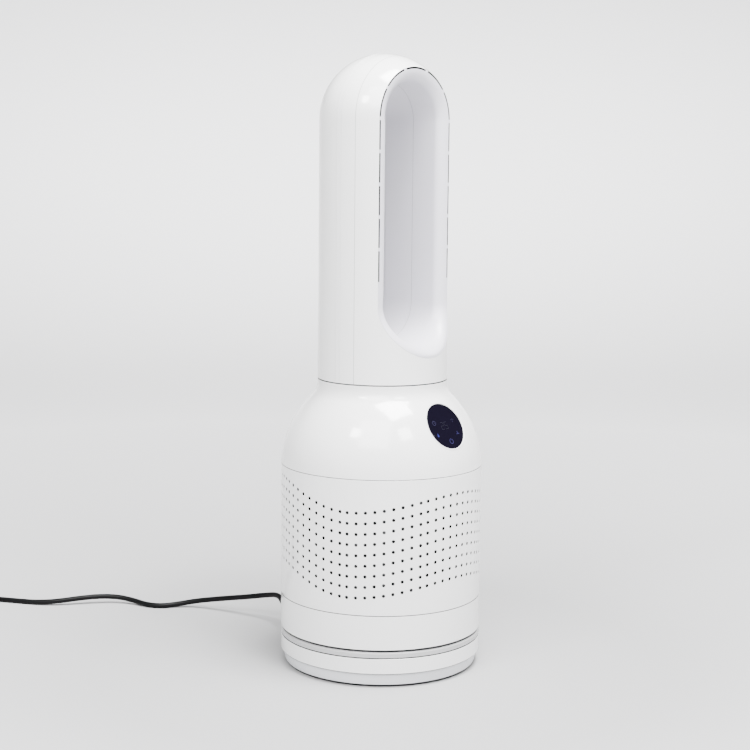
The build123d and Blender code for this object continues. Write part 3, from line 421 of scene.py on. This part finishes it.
def aim():
    """Camera rotation from its pitch, pan and roll about the line to the object's axis."""
    forward = Vector((sin(PAN) * cos(PITCH), cos(PAN) * cos(PITCH), -sin(PITCH)))
    right = Vector((cos(PAN), -sin(PAN), 0))
    up = right.cross(forward)
    tilted_right = right * cos(ROLL) + up * sin(ROLL)
    tilted_up = up * cos(ROLL) - right * sin(ROLL)
    rows = Matrix((tilted_right, tilted_up, -forward)).transposed()
    return (Matrix.Rotation(-CAMERA_AZIMUTH, 3, "Z") @ rows).to_4x4()


camera = bpy.data.objects.new("camera", bpy.data.cameras.new("camera"))
bpy.context.scene.collection.objects.link(camera)
camera.data.lens = LENS_MM
camera.data.sensor_width = SENSOR_MM
camera.data.clip_start = 0.05
stand = Vector((-sin(CAMERA_AZIMUTH), -cos(CAMERA_AZIMUTH), 0)) * CAMERA_FROM_AXIS
camera.matrix_world = Matrix.Translation(stand + Vector((0, 0, CAMERA_HEIGHT))) @ aim()
bpy.context.scene.camera = camera


# ---------------------------------------------------------------- cord
CORD_D = 0.006
RELIEF_TIP = (0, 0.1362, 0.0214)   # where the cord leaves the gland's sleeve
CORD_ROUTE = [
    (0.004, 0.154, 0.026), (0.013, 0.171, 0.0325), (0.013, 0.195, 0.027), (0.006, 0.217, 0.022),
    (0.002, 0.238, 0.0175), (-0.005, 0.260, 0.013), (-0.015, 0.284, 0.008), (-0.030, 0.301, 0.0036),
    (-0.047, 0.309, 0.003), (-0.056, 0.326, 0.003), (-0.059, 0.346, 0.0048), (-0.068, 0.364, 0.0075),
    (-0.085, 0.379, 0.0085), (-0.106, 0.392, 0.0075), (-0.127, 0.406, 0.005), (-0.143, 0.426, 0.003),
    (-0.155, 0.448, 0.003), (-0.168, 0.472, 0.003), (-0.177, 0.497, 0.003)]
COIL_CENTRE = Vector((-0.2146, 0.4834))
COIL_STEP = 24                     # degrees between the points of a turn
# (angle round the coil in degrees, radius of the turn, height of the cord's centre)
COIL_TURNS = [
    (20, 0.040, 0.003), (330, 0.040, 0.003), (380, 0.034, 0.003), (690, 0.034, 0.003), (740, 0.028, 0.003),
    (990, 0.028, 0.003), (1045, 0.028, 0.009), (1290, 0.028, 0.009), (1345, 0.034, 0.009),
    (1590, 0.034, 0.009), (1645, 0.040, 0.009), (1733, 0.040, 0.009), (1763, 0.040, 0.011)]
CURL_R = 0.025                     # the last bend, up to the plug on top of the coil
CURL_START, CURL_TURN = 1763, 110  # degrees
PLUG_Z = 0.021
PLUG_RUN = 0.004                   # how far the cord runs straight into the plug's tail
# (degrees along the bend, share of its radius, height)
CURL_POINTS = [(0, 1.02, 0.0112), (28, 1.03, 0.0142), (56, 1.03, 0.0168), (84, 1.04, 0.0195),
               (106, 1.02, PLUG_Z)]


def between(table, angle):
    """Radius and height at an angle, between the rows of a table."""
    for (a0, r0, z0), (a1, r1, z1) in zip(table, table[1:]):
        if angle <= a1:
            share = (angle - a0) / (a1 - a0)
            return r0 + (r1 - r0) * share, z0 + (z1 - z0) * share
    return table[-1][1:]


def coil_points():
    """Control points of the turns and of the bend that ends in the plug's tail."""
    # the curve runs a little inside its control points, so they are set this much further out
    reach = 8 / (6 + 2 * cos(radians(COIL_STEP)))
    points = []
    angle = COIL_TURNS[0][0] + COIL_STEP
    while angle < CURL_START - COIL_STEP / 2:
        r, z = between(COIL_TURNS, angle)
        a = radians(angle)
        points.append((COIL_CENTRE.x + r * reach * cos(a), COIL_CENTRE.y + r * reach * sin(a), z))
        angle += COIL_STEP
    start = radians(CURL_START)
    middle = COIL_CENTRE + Vector((cos(start), sin(start))) * (COIL_TURNS[-1][1] - CURL_R)
    for turn, out, z in CURL_POINTS:
        a = start + radians(turn)
        points.append((middle.x + CURL_R * out * cos(a), middle.y + CURL_R * out * sin(a), z))
    a = start + radians(CURL_TURN)
    end = middle + Vector((cos(a), sin(a))) * CURL_R
    ahead = Vector((-sin(a), cos(a)))
    points.append((end.x + ahead.x * PLUG_RUN, end.y + ahead.y * PLUG_RUN, PLUG_Z))
    return points


def make_cord():
    """The mains cord as one round tube, from the gland to the plug."""
    curve = bpy.data.curves.new("mains_cord", "CURVE")
    curve.dimensions = "3D"
    curve.bevel_depth = CORD_D / 2
    curve.bevel_resolution = 6
    curve.resolution_u = 8
    spline = curve.splines.new("NURBS")
    points = [RELIEF_TIP, *CORD_ROUTE, *coil_points()]
    spline.points.add(len(points) - 1)
    for spline_point, point in zip(spline.points, points):
        spline_point.co = (*point, 1)
    spline.order_u = 3
    spline.use_endpoint_u = True
    cord = add_object("mains_cord", curve, MATERIALS["cord"])
    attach(cord, "base")
    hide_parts("power_cord", "cord_coil")


make_cord()


# ---------------------------------------------------------------- display marks
# shapes on the glass are given in millimetres, to the right and up from its middle
MM = 0.001
DISPLAY_TILT = radians(59.5)       # from upright to the direction the display faces
MARK_LIFT = 0.00006
MARK_T = 0.00008
DIGIT_W, DIGIT_H, DIGIT_STROKE = 3.8, 7.4, 0.7


def display_frame():
    """Matrix whose origin is the middle of the display's glass and whose +Z points out of it."""
    low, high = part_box("display_lens")
    turn = Matrix.Rotation(DISPLAY_TILT, 4, "X")
    normal = turn.to_3x3() @ Vector((0, 0, 1))
    face = max(vertex.co.dot(normal) for vertex in NODES["display_lens"].data.vertices)
    middle = (low + high) / 2
    middle += normal * (face - middle.dot(normal))
    return Matrix.Translation(middle + normal * MARK_LIFT) @ turn


def flat_mark(name, outlines, mat):
    """Thin raised shapes on the glass, from outlines in millimetres on its face."""
    mesh = bmesh.new()
    for outline in outlines:
        low = [mesh.verts.new((x * MM, y * MM, 0)) for x, y in outline]
        high = [mesh.verts.new((x * MM, y * MM, MARK_T)) for x, y in outline]
        mesh.faces.new(high)
        mesh.faces.new(low[::-1])
        for k in range(len(outline)):
            j = (k + 1) % len(outline)
            mesh.faces.new((low[k], low[j], high[j], high[k]))
    mesh.transform(display_frame())
    data = bpy.data.meshes.new(name)
    mesh.to_mesh(data)
    mesh.free()
    mark = add_object(name, data, mat)
    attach(mark, "tower")


def arc_band(cx, cy, radius, width, start, end, steps):
    """Quads along part of a ring, between two angles in degrees."""
    inner, outer = radius - width / 2, radius + width / 2
    quads = []
    for k in range(steps):
        a, b = (radians(start + (end - start) * (k + i) / steps) for i in (0, 1))
        corners = ((inner, a), (outer, a), (outer, b), (inner, b))
        quads.append([(cx + r * cos(t), cy + r * sin(t)) for r, t in corners])
    return quads


def bar(cx, cy, length, width, angle):
    """A straight stroke with pointed ends."""
    along = (cos(radians(angle)), sin(radians(angle)))
    across = (-along[1], along[0])
    half, thin = length / 2, width / 2
    ends = [(-half, 0), (-half + thin, -thin), (half - thin, -thin),
            (half, 0), (half - thin, thin), (-half + thin, thin)]
    return [(cx + u * along[0] + v * across[0], cy + u * along[1] + v * across[1]) for u, v in ends]


def blob(cx, cy, rx, ry, angle=0.0, steps=20):
    """A filled ellipse."""
    turn = radians(angle)
    points = []
    for k in range(steps):
        u, v = rx * cos(2 * pi * k / steps), ry * sin(2 * pi * k / steps)
        points.append((cx + u * cos(turn) - v * sin(turn), cy + u * sin(turn) + v * cos(turn)))
    return points


def digit(cx, cy, lit):
    """Seven-segment digit; lit names its strokes: a, g, d from the top, f, b above and e, c below."""
    across, down = DIGIT_W / 2, DIGIT_H / 4
    strokes = {"a": (0, 2 * down, 0), "g": (0, 0, 0), "d": (0, -2 * down, 0), "f": (-across, down, 90),
               "b": (across, down, 90), "e": (-across, -down, 90), "c": (across, -down, 90)}
    bars = []
    for name, (x, y, angle) in strokes.items():
        if name in lit:
            length = DIGIT_H / 2 if angle else DIGIT_W
            bars.append(bar(cx + x, cy + y, length, DIGIT_STROKE, angle))
    return bars


def make_display():
    """Digits in the middle of the glass and five marks round them."""
    faint = glowing("mark_faint", (0.020, 0.016, 0.060), 0.16)
    dim = glowing("mark_dim", (0.050, 0.040, 0.150), 0.22)
    clear = glowing("mark_clear", (0.060, 0.048, 0.26), 0.32)
    bright = glowing("mark_bright", (0.08, 0.09, 0.55), 0.6)
    # timer dial, upper left
    flat_mark("mark_timer", arc_band(-14.3, 4.9, 2.3, 0.7, 0, 360, 28)
              + [bar(-14.3, 5.6, 1.8, 0.5, 90), bar(-13.7, 4.8, 1.5, 0.5, 0)], dim)
    # air drop, lower left
    flat_mark("mark_drop", [blob(-15.3, -9.0, 1.2, 1.2), [(-16.3, -8.4), (-14.3, -8.4), (-15.3, -6.2)]],
              bright)
    # power ring, bottom
    flat_mark("mark_power", arc_band(0.4, -16.6, 2.4, 0.9, 118, 422, 28)
              + [bar(0.4, -14.4, 2.6, 0.8, 90)], clear)
    # fan speed, lower right
    flat_mark("mark_speed", [blob(13.8 + 1.2 * cos(radians(a)), -9.1 + 1.2 * sin(radians(a)), 1.2, 0.55, a)
                             for a in (90, 210, 330)], clear)
    # swing, upper right
    flat_mark("mark_swing", arc_band(13.3, 4.0, 2.4, 0.6, 35, 145, 14)
              + [bar(13.3, 4.0, 2.4, 0.6, 90)], dim)
    flat_mark("mark_digits", digit(-3.9, 0.8, "abged") + digit(1.6, 0.8, "afgcd"), faint)


make_display()


# ---------------------------------------------------------------- floor and light
FLOOR_FLAT_RINGS = (0.6, 1.2, 1.9, 2.6)
FLOOR_SIDES = 96
FLOOR_NEAR, FLOOR_FAR = 0.45, 1.08  # share of the paper's colour near the object (painted shade) and far away (painted light)
FLOOR_NEAR_R, FLOOR_FAR_R = 0.3, 1.6
COVE_R = 7.0
COVE_H = 1.7
COVE_STEPS = 18
COVE_AIM_R, COVE_AIM_Z = 6, 0.9    # where the backdrop light points, behind the object
WORLD_STRENGTH = 0.52


def make_stage():
    """Pale round floor that rises gently far away, so that no horizon shows; its colour has painted shade
    near the object and painted light far away.
    """
    rings = [(r, 0.0) for r in FLOOR_FLAT_RINGS]
    flat_r = FLOOR_FLAT_RINGS[-1]
    for k in range(1, COVE_STEPS + 1):
        share = k / COVE_STEPS
        rings.append((flat_r + (COVE_R - flat_r) * share, COVE_H * share ** 2))
    turns = [2 * pi * k / FLOOR_SIDES for k in range(FLOOR_SIDES)]
    mesh = bmesh.new()
    middle = mesh.verts.new((0, 0, 0))
    rows = [[mesh.verts.new((r * cos(a), r * sin(a), z)) for a in turns] for r, z in rings]
    for k in range(FLOOR_SIDES):
        mesh.faces.new((middle, rows[0][k], rows[0][(k + 1) % FLOOR_SIDES]))
    for inner, outer in zip(rows, rows[1:]):
        for k in range(FLOOR_SIDES):
            j = (k + 1) % FLOOR_SIDES
            mesh.faces.new((inner[k], outer[k], outer[j], inner[j]))
    for face in mesh.faces:
        face.smooth = True
    data = bpy.data.meshes.new("studio_floor")
    mesh.to_mesh(data)
    mesh.free()
    paper = surface("studio_paper", (0.80, 0.80, 0.81), 0.7, 0.995, 0.1, 300, specular=0.25)
    tree = paper.node_tree
    x, y, _ = place(tree)
    # painted shade on the floor near the object, fading to painted light far away
    painted_light_falloff = spread(tree, span(tree, x, y, None), FLOOR_NEAR, FLOOR_FAR, FLOOR_NEAR_R, FLOOR_FAR_R)
    scale_colour(paper, painted_light_falloff)
    add_object("studio_floor", data, paper)


def make_world():
    """Even studio light, a little brighter from above."""
    world = bpy.data.worlds.new("studio")
    bpy.context.scene.world = world
    world.use_nodes = True
    tree = world.node_tree
    background = tree.nodes["Background"]
    coord = tree.nodes.new("ShaderNodeTexCoord")
    split = tree.nodes.new("ShaderNodeSeparateXYZ")
    tree.links.new(coord.outputs["Generated"], split.inputs["Vector"])
    ramp = tree.nodes.new("ShaderNodeValToRGB")
    ramp.color_ramp.elements[0].position = 0.0
    ramp.color_ramp.elements[0].color = (0.80, 0.80, 0.81, 1)
    ramp.color_ramp.elements[1].position = 1.0
    ramp.color_ramp.elements[1].color = (1.0, 1.0, 1.0, 1)
    tree.links.new(split.outputs["Z"], ramp.inputs["Fac"])
    tree.links.new(ramp.outputs["Color"], background.inputs["Color"])
    background.inputs["Strength"].default_value = WORLD_STRENGTH


def soft_box(name, azimuth, distance, height, size, power, target=(0, 0, 0.35)):
    """Area light; azimuth is counted from the camera's side of the object, to the right in the picture."""
    light = bpy.data.lights.new(name, "AREA")
    light.shape = "RECTANGLE"
    light.size, light.size_y = size
    light.energy = power
    lamp = bpy.data.objects.new(name, light)
    bpy.context.scene.collection.objects.link(lamp)
    turn = radians(azimuth) - CAMERA_AZIMUTH
    lamp.location = (sin(turn) * distance, -cos(turn) * distance, height)
    lamp.rotation_mode = "QUATERNION"
    lamp.rotation_quaternion = (Vector(target) - lamp.location).to_track_quat("-Z", "Y")


make_stage()
make_world()
cove_middle = (sin(CAMERA_AZIMUTH) * COVE_AIM_R, cos(CAMERA_AZIMUTH) * COVE_AIM_R, COVE_AIM_Z)
soft_box("key_left", -38, 1.25, 1.35, (0.28, 0.28), 16)
soft_box("key_right", 34, 1.25, 1.35, (0.4, 0.4), 18)
soft_box("front", -10, 1.7, 1.9, (1.4, 1.4), 84)
soft_box("top", 45, 0.6, 2.3, (1.0, 1.0), 230, target=(0, 0, 0.3))
soft_box("backdrop", 180, 3.6, 3.2, (3.5, 1.2), 430, target=cove_middle)
